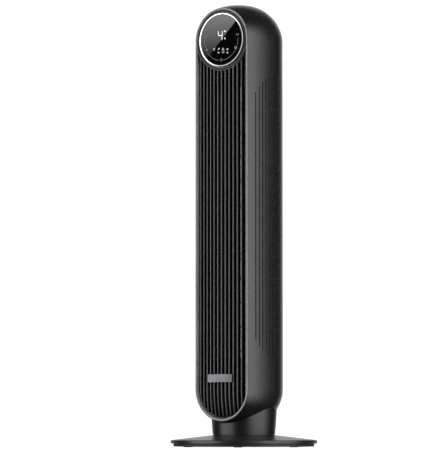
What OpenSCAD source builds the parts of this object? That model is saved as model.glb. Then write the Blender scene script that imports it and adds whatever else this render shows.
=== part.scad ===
// Tower fan on a round weighted base. Millimetres, +Z up, the front face looks along -Y.
// The origin is on the floor, on the axis that the tower swings about.

/* [Tower] */
// Height of the top of the tower above the floor
tower_top = 915.5; // [880:0.5:960]
// Half of the tower's greatest width
body_hw = 78.5; // [77.5:0.5:79.5]
// Half of the front rim's width
rim_hw = 65.8; // [65.4:0.1:66.2]
// How far the front rim stands in front of the swing axis
front_reach = 80; // [79:0.5:81]
// How far the back reaches behind the swing axis
back_reach = 90; // [88.5:0.5:91.5]
// Thickness of the moulded shell
wall = 2.2; // [2:0.1:2.4]

/* [Front grille] */
// Distance from one upright bar to the next
bar_pitch = 9.5; // [9.3:0.1:9.7]
// Thickness of one upright bar
bar_t = 2.2; // [1.8:0.1:2.6]
// Radius that the bars' front edges bulge to, seen from above
bulge_r = 262; // [240:2:300]

/* [Air intake] */
// Distance from one intake slot to the next, round the shell
slot_pitch = 10; // [10:0.5:11]
// Width of one intake slot
slot_w = 2; // [1.6:0.1:2.4]

/* [Display] */
// Radius of the round touch glass
glass_r = 52; // [51.6:0.1:52.4]
// Outer radius of the bright ring round the glass
ring_r = 55.9; // [55.5:0.1:56.3]

/* [Fan wheel] */
// Outer radius of the crossflow wheel
wheel_r = 45; // [43:0.5:46]
// Number of blades in one section of the wheel
blades = 26; // [20:1:30]
// Number of sections stacked along the wheel
sections = 12; // [10:1:13]

/* [Base] */
// Radius of the base's top cover
base_r = 151.5; // [147:0.5:156]
// Height of the neck's foot above the floor
hub_z = 24.5; // [24:0.5:25]

/* [Swing drive] */
// Teeth on the fixed gear
gear_teeth = 49; // [49:1:49]
// Teeth on the motor's pinion
pinion_teeth = 15; // [15:1:15]

/* [Hidden] */
$fn = 64;
y_front = -front_reach;
y_mid = -1;
cap_lo = 119.2;
cap_hi = tower_top - body_hw;
r_front = (pow(y_mid - y_front, 2) + pow(body_hw - rim_hw, 2)) / (2 * (body_hw - rim_hw));
r_back = 54.8;
b_len = back_reach - y_mid;
r_side = (body_hw * body_hw + pow(b_len - r_back, 2) - r_back * r_back) / (2 * (body_hw - r_back));
n_x = (r_side - body_hw) / (r_side - r_back);
n_y = (b_len - r_back) / (r_side - r_back);
slot_lo = cap_lo + 67;
slot_hi = cap_hi - 79;
wheel_y = 10;
wheel_lo = 146;
wheel_hi = cap_hi - 83;
deck_lo = 131;
deck_hi = cap_hi - 75;
gear_m = 1;
gear_d = gear_m * (gear_teeth + pinion_teeth) / 2;
handle_z = cap_hi - 30;
handle_h = 32;
handle_hw = 40;
plate_z = 141;
win_y = back_reach - 32;
eps = 0.01;

// ---------- helpers ----------

function lerp(a, b, t) = a + (b - a) * t;
function polar(r, a) = [r * cos(a), r * sin(a)];

// Half width of the tower's outside at a depth y
function hw_at(y) = y < y_mid ? body_hw - r_front + sqrt(r_front * r_front - pow(y - y_mid, 2))
  : y < (back_reach - r_back + r_back * n_y) ? body_hw - r_side + sqrt(r_side * r_side - pow(y - y_mid, 2))
  : sqrt(max(0, r_back * r_back - pow(y - back_reach + r_back, 2)));

// Seen from above: the tower's outline, set in by o, from y0 to the back
module plan(o = 0, y0 = y_front) {
  yj = back_reach - r_back + (r_back - o) * n_y;
  intersection() {
    translate([body_hw - r_front, y_mid]) circle(r = r_front - o, $fn = 480);
    translate([r_front - body_hw, y_mid]) circle(r = r_front - o, $fn = 480);
    translate([-200, y0]) square([400, y_mid - y0]);
  }
  intersection() {
    translate([body_hw - r_side, y_mid]) circle(r = r_side - o, $fn = 360);
    translate([r_side - body_hw, y_mid]) circle(r = r_side - o, $fn = 360);
    translate([-200, y_mid]) square([400, yj - y_mid]);
  }
  intersection() {
    translate([0, back_reach - r_back]) circle(r = r_back - o, $fn = 180);
    translate([-200, yj]) square([400, 200]);
  }
}

// A band of the outline between two depths in from the outside
module plan_band(o1, o2, y0) {
  difference() {
    plan(o1, y0);
    plan(o2, y0 - 5);
  }
}

// Turns a half profile (x = distance out, y = depth) about a level line that runs front to back; lower half
module turn_low() rotate([-90, 0, 0]) rotate_extrude(angle = 180) children();

// The whole tower as a solid, set in by o
module pod(o = 0, y0 = y_front) {
  translate([0, 0, cap_lo]) linear_extrude(cap_hi - cap_lo) plan(o, y0);
  translate([0, 0, cap_lo]) turn_low() intersection() {
    plan(o, y0);
    translate([0, -200]) square([200, 400]);
  }
  translate([0, 0, cap_hi]) mirror([0, 0, 1]) turn_low() intersection() {
    plan(o, y0);
    translate([0, -200]) square([200, 400]);
  }
}

// Carries a profile (x = distance out, y = depth) once round the tall rounded front
module round_front() {
  for (s = [0, 1]) mirror([s, 0, 0]) translate([0, 0, cap_lo]) linear_extrude(cap_hi - cap_lo) children();
  translate([0, 0, cap_lo]) turn_low() children();
  translate([0, 0, cap_hi]) mirror([0, 0, 1]) turn_low() children();
}

// The lower, U-shaped part of the same path
module round_front_low(top) {
  for (s = [0, 1]) mirror([s, 0, 0]) translate([0, 0, cap_lo]) linear_extrude(top - cap_lo) children();
  translate([0, 0, cap_lo]) turn_low() children();
}

// A cylinder that lies front to back
module cyl_y(r, y0, y1, x = 0, z = 0) translate([x, y0, z]) rotate([-90, 0, 0]) cylinder(r = r, h = y1 - y0);

// A solid of the tall rounded front shape, from y0 to y1
module front_slab(r, y0, y1) {
  translate([-r, y0, cap_lo]) cube([2 * r, y1 - y0, cap_hi - cap_lo]);
  translate([0, 0, cap_lo]) turn_low() translate([0, y0]) square([r, y1 - y0]);
  translate([0, 0, cap_hi]) mirror([0, 0, 1]) turn_low() translate([0, y0]) square([r, y1 - y0]);
}

module tube(r1, r2, z0, z1) translate([0, 0, z0]) difference() {
  cylinder(r = r2, h = z1 - z0);
  translate([0, 0, -1]) cylinder(r = r1, h = z1 - z0 + 2);
}

module box(x0, x1, y0, y1, z0, z1) translate([x0, y0, z0]) cube([x1 - x0, y1 - y0, z1 - z0]);

// Pan-head screw that stands on z = 0, with its shank above its head and a cross in the head
module screw(head_r, head_h, r, len) {
  difference() {
    cylinder(r = head_r, h = head_h);
    translate([-head_r * 0.6, -0.4, -1]) cube([head_r * 1.2, 0.8, 1 + head_h * 0.5]);
    translate([-0.4, -head_r * 0.6, -1]) cube([0.8, head_r * 1.2, 1 + head_h * 0.5]);
  }
  translate([0, 0, head_h]) cylinder(r = r, h = len);
}

// Involute gear outline
function inv_pt(rb, t) = [rb * (cos(t) + t * PI / 180 * sin(t)), rb * (sin(t) - t * PI / 180 * cos(t))];
function inv_ang(rb, r) = let (t = sqrt(max(0, r * r / (rb * rb) - 1)) * 180 / PI) t - atan(t * PI / 180);
module gear2d(m, n, slack = 0.16) {
  rp = m * n / 2;
  rb = rp * cos(20);
  ra = rp + m * 0.92;
  rr = rp - m * 1.22;
  half = 90 / n - slack / rp * 90 / PI + inv_ang(rb, rp);
  r0 = max(rb, rr);
  steps = 4;
  polygon([for (i = [0:n - 1]) let (a = i * 360 / n) each concat(
    [polar(rr, a - half - 0.4)],
    [for (k = [0:steps]) let (r = lerp(r0, ra, k / steps)) polar(r, a - half + inv_ang(rb, r))],
    [for (k = [steps:-1:0]) let (r = lerp(r0, ra, k / steps)) polar(r, a + half - inv_ang(rb, r))],
    [polar(rr, a + half + 0.4)])]);
}

// A strip of thickness t along a line of points
function dir(p, i) = let (n = len(p) - 1, a = p[max(0, i - 1)], b = p[min(n, i + 1)], d = b - a) d / norm(d);
module strip(p, t) polygon(concat(
  [for (i = [0:len(p) - 1]) let (d = dir(p, i)) p[i] + [-d[1], d[0]] * t / 2],
  [for (i = [len(p) - 1:-1:0]) let (d = dir(p, i)) p[i] - [-d[1], d[0]] * t / 2]));

// ---------- base ----------

// The rib just inside the neck closes the gap under it
module base_top_cover() color([0.03, 0.03, 0.035]) difference() {
  rotate_extrude() polygon([[18.2, hub_z], [60.2, hub_z], [60.2, hub_z + 2], [61.8, hub_z + 2], [61.8, hub_z], [66, hub_z], [base_r - 1.2, 14.6], [base_r - 0.3, 14.2], [base_r, 13.4],
    [base_r, 7.9], [base_r - 0.8, 7.1], [base_r - 5, 7.1], [base_r - 5, 12], [65.5, hub_z - 3], [18.2, hub_z - 3]]);
  // gap in the rim that the cord bush sits in
  cyl_y(5.7, base_r - 16, base_r + 5, 0, 7.8);
}

module base_bosses() for (i = [0:5]) rotate(15 + 60 * i) translate([base_r - 16, 0, 0]) children();

module base_under_cover() color([0.05, 0.05, 0.055]) difference() {
  union() {
    rotate_extrude() polygon([[36, 1.2], [base_r - 7, 1.2], [base_r - 6, 2.2], [base_r - 6, 6.9], [base_r - 9, 6.9], [base_r - 9, 3.8],
      [36, 3.8]]);
    base_bosses() translate([0, 0, 3.7]) difference() {
      cylinder(r = 4.2, h = 7.3);
      translate([0, 0, -1]) cylinder(r = 1.7, h = 10);
    }
  }
  for (i = [0:5]) rotate(60 * i) translate([base_r - 26, 0, 0.2]) cylinder(r = 9.1, h = 2.4);
  base_bosses() cylinder(r = 1.7, h = 20);
  base_bosses() cylinder(r = 3.9, h = 2.6);
  cyl_y(5.7, base_r - 16, base_r + 5, 0, 7.8);
}

module base_weight() color([0.45, 0.45, 0.47]) tube(70, base_r - 24, 4.1, 9);

module rubber_feet() color([0.06, 0.06, 0.06]) for (i = [0:5]) rotate(60 * i) translate([base_r - 26, 0, 0])
  rotate_extrude() polygon([[0, 0], [8.3, 0], [9, 0.7], [9, 2.55], [0, 2.55]]);

module base_screws() color([0.6, 0.6, 0.62]) base_bosses() translate([0, 0, 0.9]) screw(3.5, 1.6, 1.5, 8);

module cord_gland() color([0.07, 0.07, 0.07]) difference() {
  union() {
    cyl_y(5.5, base_r - 14, base_r - 0.6, 0, 7.8);
    cyl_y(5.65, base_r - 2.2, base_r - 1.2, 0, 7.8);
  }
  cyl_y(3.6, base_r - 20, base_r + 5, 0, 7.8);
}

module spindle() color([0.78, 0.78, 0.75]) difference() {
  union() {
    translate([0, 0, 8]) cylinder(r = 18, h = 52);
    translate([0, 0, hub_z + 0.1]) cylinder(r = 32, h = 1.8);
  }
  translate([0, 0, 0]) cylinder(r = 13, h = 70);
}

module clamp_nut() color([0.12, 0.12, 0.13]) difference() {
  translate([0, 0, 11]) cylinder(r = 29, h = hub_z - 3 - 11.1);
  translate([0, 0, 5]) cylinder(r = 18.1, h = 30);
  for (i = [0:11]) rotate(30 * i) translate([31, 0, 5]) cylinder(r = 4, h = 30);
}

module thrust_washer() color([0.92, 0.92, 0.9]) tube(20, 31, hub_z + 2, hub_z + 2.6);

module swing_gear() color([0.88, 0.86, 0.8]) translate([0, 0, 37.6]) difference() {
  linear_extrude(8) gear2d(gear_m, gear_teeth);
  translate([0, 0, -1]) cylinder(r = 18.04, h = 12);
}

module spindle_clip() color([0.7, 0.7, 0.72]) translate([0, 0, 46]) rotate_extrude(angle = 320) translate([18.04, 0]) square([2.9, 1.3]);

// ---------- neck and swing drive ----------

motor_x = gear_d + 7;
module turntable() color([0.16, 0.16, 0.17]) difference() {
  union() {
    translate([0, 0, hub_z + 2.8]) cylinder(r = 61.7, h = 3);
    translate([0, 0, hub_z + 2.8]) cylinder(r = 24, h = 9.9);
    for (s = [-1, 1]) translate([motor_x, 21 * s, hub_z + 4]) cylinder(r = 3.6, h = 47.7 - hub_z - 4);
  }
  translate([0, 0, 0]) cylinder(r = 18.07, h = 60);
  for (s = [-1, 1]) translate([motor_x, 21 * s, 38]) cylinder(r = 1.35, h = 20);
  for (i = [0:3]) rotate(45 + 90 * i) translate([56.5, 0, 0]) cylinder(r = 1.9, h = 60);
}

// Pillars that carry the tower on the turntable
pillar_at = [[-20, -41], [20, -41], [-44.5, 10]];
module tower_pillars() color([0.7, 0.7, 0.72]) for (p = pillar_at) translate([p[0], p[1], 0]) {
  translate([0, 0, hub_z + 6]) cylinder(r = 3.2, h = deck_lo - 0.2 - hub_z - 6);
  translate([0, 0, hub_z + 6]) cylinder(r = 4.2, h = 3, $fn = 6);
  translate([0, 0, deck_lo + 3.1]) cylinder(r = 3.6, h = 2.2);
  translate([0, 0, deck_lo - 1]) cylinder(r = 1.5, h = 5);
}

module neck_shell() color([0.045, 0.045, 0.05]) difference() {
  union() {
    difference() {
      translate([0, 0, hub_z + 0.7]) cylinder(r1 = 64.7, r2 = 69.4, h = 75);
      translate([0, 0, hub_z + 0.6]) cylinder(r1 = 62.3, r2 = 67, h = 75.2);
    }
    for (i = [0:3]) rotate(45 + 90 * i) translate([56.5, 0, hub_z + 6]) {
      cylinder(r = 4, h = 14);
      translate([2, -1.2, 0]) cube([5.4, 2.4, 14]);
    }
  }
  pod(-0.15, y_front - 2);
  for (i = [0:3]) rotate(45 + 90 * i) translate([56.5, 0, 0]) cylinder(r = 1.6, h = 42);
}

module neck_screws() color([0.6, 0.6, 0.62]) for (i = [0:3]) rotate(45 + 90 * i) translate([56.5, 0, hub_z + 1.1]) screw(3.4, 1.6, 1.5, 12);

module swing_motor() color([0.75, 0.76, 0.78]) difference() {
  union() {
    translate([motor_x, 0, 47.8]) cylinder(r = 17.4, h = 14);
    translate([motor_x - 3.5, -21, 47.8]) cube([7, 42, 1]);
    for (s = [-1, 1]) translate([motor_x, 21 * s, 47.8]) cylinder(r = 3.5, h = 1);
    translate([gear_d, 0, 46.4]) cylinder(r = 4.5, h = 2);
    translate([motor_x + 12, -7, 50]) cube([8.2, 14, 9]);
  }
  translate([gear_d, 0, 40]) cylinder(r = 2.65, h = 12);
  for (s = [-1, 1]) translate([motor_x, 21 * s, 40]) cylinder(r = 1.6, h = 12);
}

module swing_motor_screws() color([0.6, 0.6, 0.62]) for (s = [-1, 1]) translate([motor_x, 21 * s, 50.6]) rotate([180, 0, 0]) screw(3, 1.7, 1.25, 9);

module swing_pinion() color([0.9, 0.88, 0.82]) translate([gear_d, 0, 0]) {
  translate([0, 0, 38]) linear_extrude(7.2) gear2d(gear_m, pinion_teeth);
  translate([0, 0, 45]) cylinder(r = 2.5, h = 6.6);
}

// ---------- tower shell ----------

// The outline by its length t from the middle of the back: the angle that the outside faces, from straight back
arc_b = asin(n_x);
len_b = r_back * arc_b * PI / 180;
len_s = r_side * (90 - arc_b) * PI / 180;
function face_at(t) = t < len_b ? t / r_back * 180 / PI
  : t < len_b + len_s ? arc_b + (t - len_b) / r_side * 180 / PI
  : 90 + (t - len_b - len_s) / r_front * 180 / PI;
function out_pt(t) = let (f = face_at(t)) t < len_b ? [r_back * sin(f), back_reach - r_back + r_back * cos(f)]
  : t < len_b + len_s ? [body_hw - r_side + r_side * sin(f), y_mid + r_side * cos(f)]
  : [body_hw - r_front + r_front * sin(f), y_mid + r_front * cos(f)];

// One slot at length t from the middle of the back
module slot_at(t, z0, z1) let (p = out_pt(t)) translate([p[0], p[1], z0]) rotate(90 - face_at(t))
  translate([-6, -slot_w / 2, 0]) cube([9, slot_w, z1 - z0]);

// Slots in the shell, from the edge of the back window forward; the foremost ones are shorter
first_slot = ceil(58 / slot_pitch);
last_slot = floor(194 / slot_pitch);
slot_inset = [32, 20, 10, 4];
module slot_cutters() for (i = [first_slot:last_slot]) let (d = last_slot - i < 4 ? slot_inset[last_slot - i] : 0)
  for (s = [0, 1]) mirror([s, 0, 0]) slot_at(i * slot_pitch, slot_lo + d, slot_hi - d);

// Screws at the back: the four inner ones hold the grille, the four outer ones close the shell
screw_x = 22;
screw_y = back_reach - r_back + sqrt(r_back * r_back - screw_x * screw_x);
grille_screw_z = [171, deck_hi - 9];
shell_screw_z = [149];
panel_screw_z = [deck_hi + 14];
panel_lo = deck_hi + 4.3;
panel_hi = cap_hi + 5.7;
module at_screws(zs) for (z = zs) for (s = [-1, 1]) translate([screw_x * s, 0, z]) children();

module rear_shell() color([0.05, 0.05, 0.055]) difference() {
  union() {
    difference() {
      pod(0, y_front + 1.8);
      pod(wall, y_front - 5);
      // intake slots; the foremost ones are shorter
      slot_cutters();
      // window for the back grille and the handle panel
      box(-44, 44, win_y, 120, 162, panel_hi + 0.3);
    }
    // ties behind the slots
    for (i = [0:6]) translate([0, 0, lerp(slot_lo + 40, slot_hi - 40, i / 6)]) linear_extrude(2) intersection() {
      plan_band(wall - 0.2, wall + 2.6, -58);
      translate([-200, -58]) square([400, 124]);
    }
    // ledge that the back grille lies on
    for (s = [-1, 1]) translate([0, 0, 158]) linear_extrude(panel_hi - 12 - 158) {
      intersection() {
        plan_band(wall + 0.2, wall + 2, win_y - 15);
        translate([s * 45 - 5, win_y - 15]) square([10, 60]);
      }
      intersection() {
        plan_band(wall - 0.3, wall + 0.5, win_y - 15);
        translate([s * 47.5 - 2.5, win_y - 15]) square([5, 60]);
      }
    }
    for (z = [[158, 22], [deck_hi - 14, 38]]) translate([0, 0, z[0]]) linear_extrude(z[1]) intersection() {
      plan_band(wall + 0.2, wall + 2, win_y - 15);
      translate([-45, win_y - 15]) square([90, 60]);
    }
    // bosses for the screws
    intersection() {
      at_screws(concat(grille_screw_z, panel_screw_z)) cyl_y(7, screw_y - 12.5, screw_y - 3.4);
      linear_extrude(1000) plan(wall + 0.2, -20);
    }
    intersection() {
      at_screws(shell_screw_z) cyl_y(5.5, screw_y - 12.5, 120);
      pod(0.5, -20);
    }
  }
  at_screws(concat(grille_screw_z, panel_screw_z)) cyl_y(5.8, screw_y - 4.7, 120);
  at_screws(concat(grille_screw_z, panel_screw_z)) cyl_y(1.6, screw_y - 30, 120);
  at_screws(shell_screw_z) cyl_y(1.8, screw_y - 30, 120);
  at_screws(shell_screw_z) cyl_y(3.3, screw_y - 2.1, 120);
  // way down into the neck, with room for the swing motor
  translate([0, 0, 30]) cylinder(r = 50.5, h = 60);
  translate([motor_x, 0, 30]) cylinder(r = 19, h = 35);
}

module rear_grille() color([0.04, 0.04, 0.045]) difference() {
  union() {
    difference() {
      translate([0, 0, 162.3]) linear_extrude(deck_hi + 3.7 - 162.3) intersection() {
        plan_band(0, wall, win_y - 15);
        translate([-43.7, win_y]) square([87.4, 60]);
      }
      for (i = [0:4]) for (s = [0, 1]) mirror([s, 0, 0]) slot_at(i * slot_pitch, slot_lo, slot_hi - 12);
    }
    // ties behind the slots, clear of the ledge
    for (i = [0:6]) translate([0, 0, lerp(slot_lo + 40, slot_hi - 52, i / 6)]) linear_extrude(2) intersection() {
      plan_band(wall - 0.2, wall + 2.6, win_y - 15);
      translate([-38.7, win_y]) square([77.4, 60]);
    }
    // seats for the screws
    intersection() {
      at_screws(grille_screw_z) cyl_y(5.4, screw_y - 4.6, 120);
      pod(0.2, -20);
    }
  }
  at_screws(grille_screw_z) cyl_y(1.8, screw_y - 30, 120);
  at_screws(grille_screw_z) cyl_y(3.3, screw_y - 2.1, 120);
}

module rear_grille_screws() color([0.1, 0.1, 0.1]) at_screws(grille_screw_z) translate([0, screw_y - 0.4, 0]) rotate([90, 0, 0]) screw(3, 1.6, 1.4, 9);

module handle_screws() color([0.1, 0.1, 0.1]) at_screws(panel_screw_z) translate([0, screw_y - 0.4, 0]) rotate([90, 0, 0]) screw(3, 1.6, 1.4, 9);

module shell_screws() color([0.1, 0.1, 0.1]) at_screws(shell_screw_z) translate([0, screw_y - 0.4, 0]) rotate([90, 0, 0]) screw(3, 1.6, 1.4, 9);

module handle_panel() color([0.045, 0.045, 0.05]) difference() {
  union() {
    translate([0, 0, panel_lo]) linear_extrude(panel_hi - panel_lo) intersection() {
      plan_band(0, wall, win_y - 15);
      translate([-43.7, win_y]) square([87.4, 60]);
    }
    intersection() {
      box(-handle_hw, handle_hw, back_reach - 35, 120, handle_z - handle_h / 2, handle_z + handle_h / 2);
      linear_extrude(2000) plan(0, -20);
    }
    intersection() {
      at_screws(panel_screw_z) cyl_y(5.4, screw_y - 4.6, 120);
      linear_extrude(2000) plan(0.2, -20);
    }
  }
  box(-handle_hw + 2, handle_hw - 2, back_reach - 33, 120, handle_z - handle_h / 2 + 2, handle_z + handle_h / 2 - 2);
  at_screws(panel_screw_z) cyl_y(1.8, screw_y - 30, 120);
  at_screws(panel_screw_z) cyl_y(3.3, screw_y - 2.1, 120);
}

// ---------- front ----------

module front_frame() color([0.2, 0.2, 0.21]) round_front() polygon([
  [62.9, y_front + 0.5], [63.4, y_front], [rim_hw - 0.7, y_front], [rim_hw, y_front + 0.7], [rim_hw, y_front + 1.7],
  [63, y_front + 1.7], [63, y_front + 16], [61.5, y_front + 16], [61.5, y_front + 1.9], [62.9, y_front + 1.4]]);

module bar_field() intersection() {
  translate([0, 0, 40]) linear_extrude(cap_hi) intersection() {
    for (k = [-6:6]) translate([k * bar_pitch - bar_t / 2, y_front - 1]) square([bar_t, 15]);
    translate([0, y_front + bulge_r]) circle(r = bulge_r, $fn = 480);
  }
  front_slab(61.2, y_front - 5, y_front + 20);
}

module front_grille() color([0.06, 0.06, 0.065]) difference() {
  union() {
    bar_field();
    // band that closes the bars' ends against the frame
    round_front_low(cap_hi) polygon([[59.2, y_front + 8], [61.2, y_front + 8], [61.2, y_front + 15.5], [59.2, y_front + 15.5]]);
    // ties behind the bars
    for (i = [0:7]) box(-60, 60, y_front + 11.5, y_front + 14, lerp(150, cap_hi - 95, i / 7), lerp(150, cap_hi - 95, i / 7) + 1.8);
    // collar below the round display
    intersection() {
      difference() {
        cyl_y(64, y_front + 1.4, y_front + 14, 0, cap_hi);
        cyl_y(61.4, y_front, y_front + 20, 0, cap_hi);
      }
      box(-61.2, 61.2, y_front, y_front + 20, cap_hi - 70, cap_hi - 8);
    }
  }
  cyl_y(61.4, y_front - 10, y_front + 20, 0, cap_hi);
}

module nameplate() color([0.5, 0.5, 0.52]) translate([0, 0, plate_z - 8.1]) linear_extrude(16.2) intersection() {
  difference() {
    translate([0, y_front + bulge_r]) circle(r = bulge_r + 3.4, $fn = 480);
    translate([0, y_front + bulge_r]) circle(r = bulge_r + 0.2, $fn = 480);
  }
  translate([-33.2, y_front - 5]) square([61.2, 20]);
}

// ---------- display ----------

module display_housing() color([0.1, 0.1, 0.11]) {
  translate([0, 0, cap_hi]) rotate([-90, 0, 0]) rotate_extrude() polygon([
    [ring_r + 0.1, y_front + 3], [58.8, y_front + 2.6], [60.4, y_front + 1.2], [61.1, y_front + 1.8], [61.1, y_front + 14], [59.6, y_front + 14], [59.6, y_front + 30],
    [0, y_front + 30], [0, y_front + 28], [57.6, y_front + 28], [57.6, y_front + 4.4], [50, y_front + 4.4], [50, y_front + 3.2], [ring_r + 0.1, y_front + 3.2]]);
  for (a = [30:60:330]) cyl_y(2.4, y_front + 12.7, y_front + 28.5, 45 * cos(a), cap_hi + 45 * sin(a));
  for (x = [-36, 36]) for (z = [-31, 31]) cyl_y(3, y_front + 29, y_front + 49.9, x, cap_hi + z);
}

module display_ring() color([0.85, 0.86, 0.88]) translate([0, 0, cap_hi]) rotate([-90, 0, 0]) rotate_extrude() polygon([
  [glass_r + 0.1, y_front + 3.1], [glass_r + 0.1, y_front + 0.1], [glass_r + 0.5, y_front - 0.3], [ring_r - 1.4, y_front - 0.3], [ring_r - 0.3, y_front + 0.4], [ring_r, y_front + 1.4], [ring_r, y_front + 3.1]]);

module display_glass() color([0.01, 0.01, 0.012]) translate([0, 0, cap_hi]) rotate([-90, 0, 0]) rotate_extrude() polygon([
  [0, y_front + 0.3], [glass_r - 0.4, y_front + 0.3], [glass_r, y_front + 0.7], [glass_r, y_front + 3.1], [0, y_front + 3.1]]);

module display_board() color([0.05, 0.25, 0.12]) difference() {
  cyl_y(50, y_front + 11, y_front + 12.6, 0, cap_hi);
  for (a = [30:60:330]) cyl_y(1.3, y_front, y_front + 40, 45 * cos(a), cap_hi + 45 * sin(a));
}

module display_lamps() color([0.93, 0.95, 0.98]) {
  box(-10, 14, y_front + 3.3, y_front + 10.9, cap_hi + 2, cap_hi + 21);
  box(-20, 21, y_front + 3.3, y_front + 10.9, cap_hi - 29, cap_hi - 15);
}

module touch_springs() color([0.75, 0.75, 0.7]) for (a = [17, -22, -90, 207, 170]) {
  difference() {
    cyl_y(4, y_front + 3.3, y_front + 10.9, 41 * cos(a), cap_hi + 41 * sin(a));
    cyl_y(3.1, y_front + 2, y_front + 12, 41 * cos(a), cap_hi + 41 * sin(a));
  }
}

module main_board() color([0.06, 0.3, 0.14]) difference() {
  box(-42, 42, y_front + 50, y_front + 51.6, cap_hi - 37, cap_hi + 37);
  for (x = [-36, 36]) for (z = [-31, 31]) cyl_y(1.6, y_front + 40, y_front + 60, x, cap_hi + z);
}
module board_capacitor() color([0.15, 0.2, 0.5]) {
  cyl_y(8, y_front + 51.7, y_front + 74, -18, cap_hi + 12);
  cyl_y(5, y_front + 51.7, y_front + 66, -18, cap_hi - 8);
}
module board_transformer() color([0.8, 0.65, 0.2]) box(4, 28, y_front + 51.7, y_front + 72, cap_hi - 12, cap_hi + 16);
module board_connectors() color([0.95, 0.95, 0.93]) {
  box(-30, -12, y_front + 51.7, y_front + 60, cap_hi - 34, cap_hi - 26);
  box(-6, 8, y_front + 51.7, y_front + 60, cap_hi - 34, cap_hi - 26);
  box(14, 26, y_front + 51.7, y_front + 60, cap_hi - 34, cap_hi - 26);
}
module wire_harness() color([0.1, 0.1, 0.1]) translate([-61, -30, 126]) cylinder(r = 1.9, h = cap_hi - 40 - 126);

// ---------- air path ----------

scroll = concat([for (i = [0:10]) let (a = 62 - 6.2 * i) [0, wheel_y] + polar(wheel_r + 3.6 + 0.42 * i, a)],
  [[wheel_r + 8.4, wheel_y - 20], [wheel_r + 9, -35], [wheel_r + 9.6, y_front + 21]]);
module air_duct() color([0.09, 0.09, 0.1]) translate([0, 0, deck_lo + 3.2]) linear_extrude(deck_hi - deck_lo - 3.4) {
  strip(scroll, 2);
}
tongue = [[-wheel_r - 9.6, y_front + 21], [-wheel_r - 8.6, -40], [-wheel_r - 6.6, -16], [-wheel_r - 3.4, wheel_y - 12]];
module duct_tongue() color([0.09, 0.09, 0.1]) translate([0, 0, deck_lo + 3.2]) linear_extrude(deck_hi - deck_lo - 3.4) {
  strip(tongue, 2);
  translate(tongue[3] + [-2.6, 1]) circle(r = 3);
}

module deck_shape() difference() {
  intersection() {
    plan(wall + 0.5, -70);
    translate([-80, -57]) square([160, back_reach + 52]);
  }
  translate([-61, -30]) circle(r = 2.6);
}

module lower_deck() color([0.13, 0.13, 0.14]) difference() {
  translate([0, 0, deck_lo]) linear_extrude(3) deck_shape();
  translate([0, wheel_y, 0]) cylinder(r = 18, h = 400);
  for (p = pillar_at) translate([p[0], p[1], 100]) cylinder(r = 1.7, h = 60);
  for (i = [0:3]) translate([0, wheel_y, 0]) rotate(45 + 90 * i) translate([43, 0, 100]) cylinder(r = 1.7, h = 60);
}

module upper_deck() color([0.13, 0.13, 0.14]) difference() {
  translate([0, 0, deck_hi]) linear_extrude(3) deck_shape();
  translate([0, wheel_y, 500]) cylinder(r = 7, h = 600);
  for (s = [-1, 1]) translate([20 * s, wheel_y, 500]) cylinder(r = 1.5, h = 600);
  // clear of the ledge behind the back grille
  translate([0, 0, deck_hi - 1]) linear_extrude(6) intersection() {
    plan_band(wall - 1, wall + 2.3, win_y - 20);
    translate([-51, win_y - 20]) square([102, 60]);
  }
}

// ---------- motor ----------

module at_wheel() translate([0, wheel_y, 0]) children();

module motor_case() color([0.62, 0.63, 0.65]) at_wheel() difference() {
  union() {
    translate([0, 0, 84]) cylinder(r = 36, h = 42);
    translate([0, 0, 79]) cylinder(r = 10, h = 6);
    for (i = [0:3]) rotate(45 + 90 * i) {
      translate([20, -6, 124]) cube([23, 12, 2]);
      translate([43, 0, 124]) cylinder(r = 6, h = 2);
    }
  }
  translate([0, 0, 86]) cylinder(r = 34.2, h = 38);
  translate([0, 0, 70]) cylinder(r = 4.4, h = 80);
  translate([0, 0, 80.5]) cylinder(r = 8.05, h = 6);
  translate([0, 0, 120]) cylinder(r = 8.05, h = 4.5);
  for (i = [0:3]) rotate(45 + 90 * i) translate([43, 0, 120]) cylinder(r = 1.7, h = 10);
  for (i = [0:11]) rotate(30 * i) translate([26, 0, 80]) cylinder(r = 2.6, h = 8);
}

module motor_bushes() color([0.72, 0.55, 0.3]) at_wheel() {
  tube(4.04, 8, 80.7, 85.8);
  tube(4.04, 8, 120, 123.9);
}

module motor_stator() color([0.5, 0.5, 0.52]) at_wheel() tube(22.4, 34, 96, 114);

module motor_coils() color([0.75, 0.4, 0.15]) at_wheel() for (z = [[88.5, 95.8], [114.2, 121.5]]) difference() {
  translate([0, 0, z[0]]) cylinder(r = 32, h = z[1] - z[0]);
  translate([0, 0, z[0] - 1]) cylinder(r = 23.5, h = 12);
}

module motor_rubbers() color([0.05, 0.05, 0.05]) at_wheel() for (i = [0:3]) rotate(45 + 90 * i) translate([43, 0, 0]) tube(1.8, 5, 126.1, deck_lo - 0.1);

module motor_screws() color([0.6, 0.6, 0.62]) at_wheel() for (i = [0:3]) rotate(45 + 90 * i) translate([43, 0, 122]) screw(3.2, 1.8, 1.5, 11.5);

module motor_shaft() color([0.8, 0.8, 0.82]) at_wheel() translate([0, 0, 81]) cylinder(r = 4, h = 63);

module motor_rotor() color([0.35, 0.35, 0.37]) at_wheel() {
  tube(4.02, 21.6, 97, 113);
  tube(15, 21.2, 113.1, 116);
  tube(15, 21.2, 94, 96.9);
}

// ---------- wheel ----------

sec_h = (wheel_hi - wheel_lo - 2) / sections;

module wheel_blade2d() intersection() {
  difference() {
    translate([wheel_r - 5.4, -7.2]) circle(r = 9.6);
    translate([wheel_r - 5.4, -7.2]) circle(r = 8.5);
  }
  difference() {
    circle(r = wheel_r - 0.3);
    circle(r = wheel_r - 9);
  }
  translate([0, 0]) square([100, 20]);
}

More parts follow.
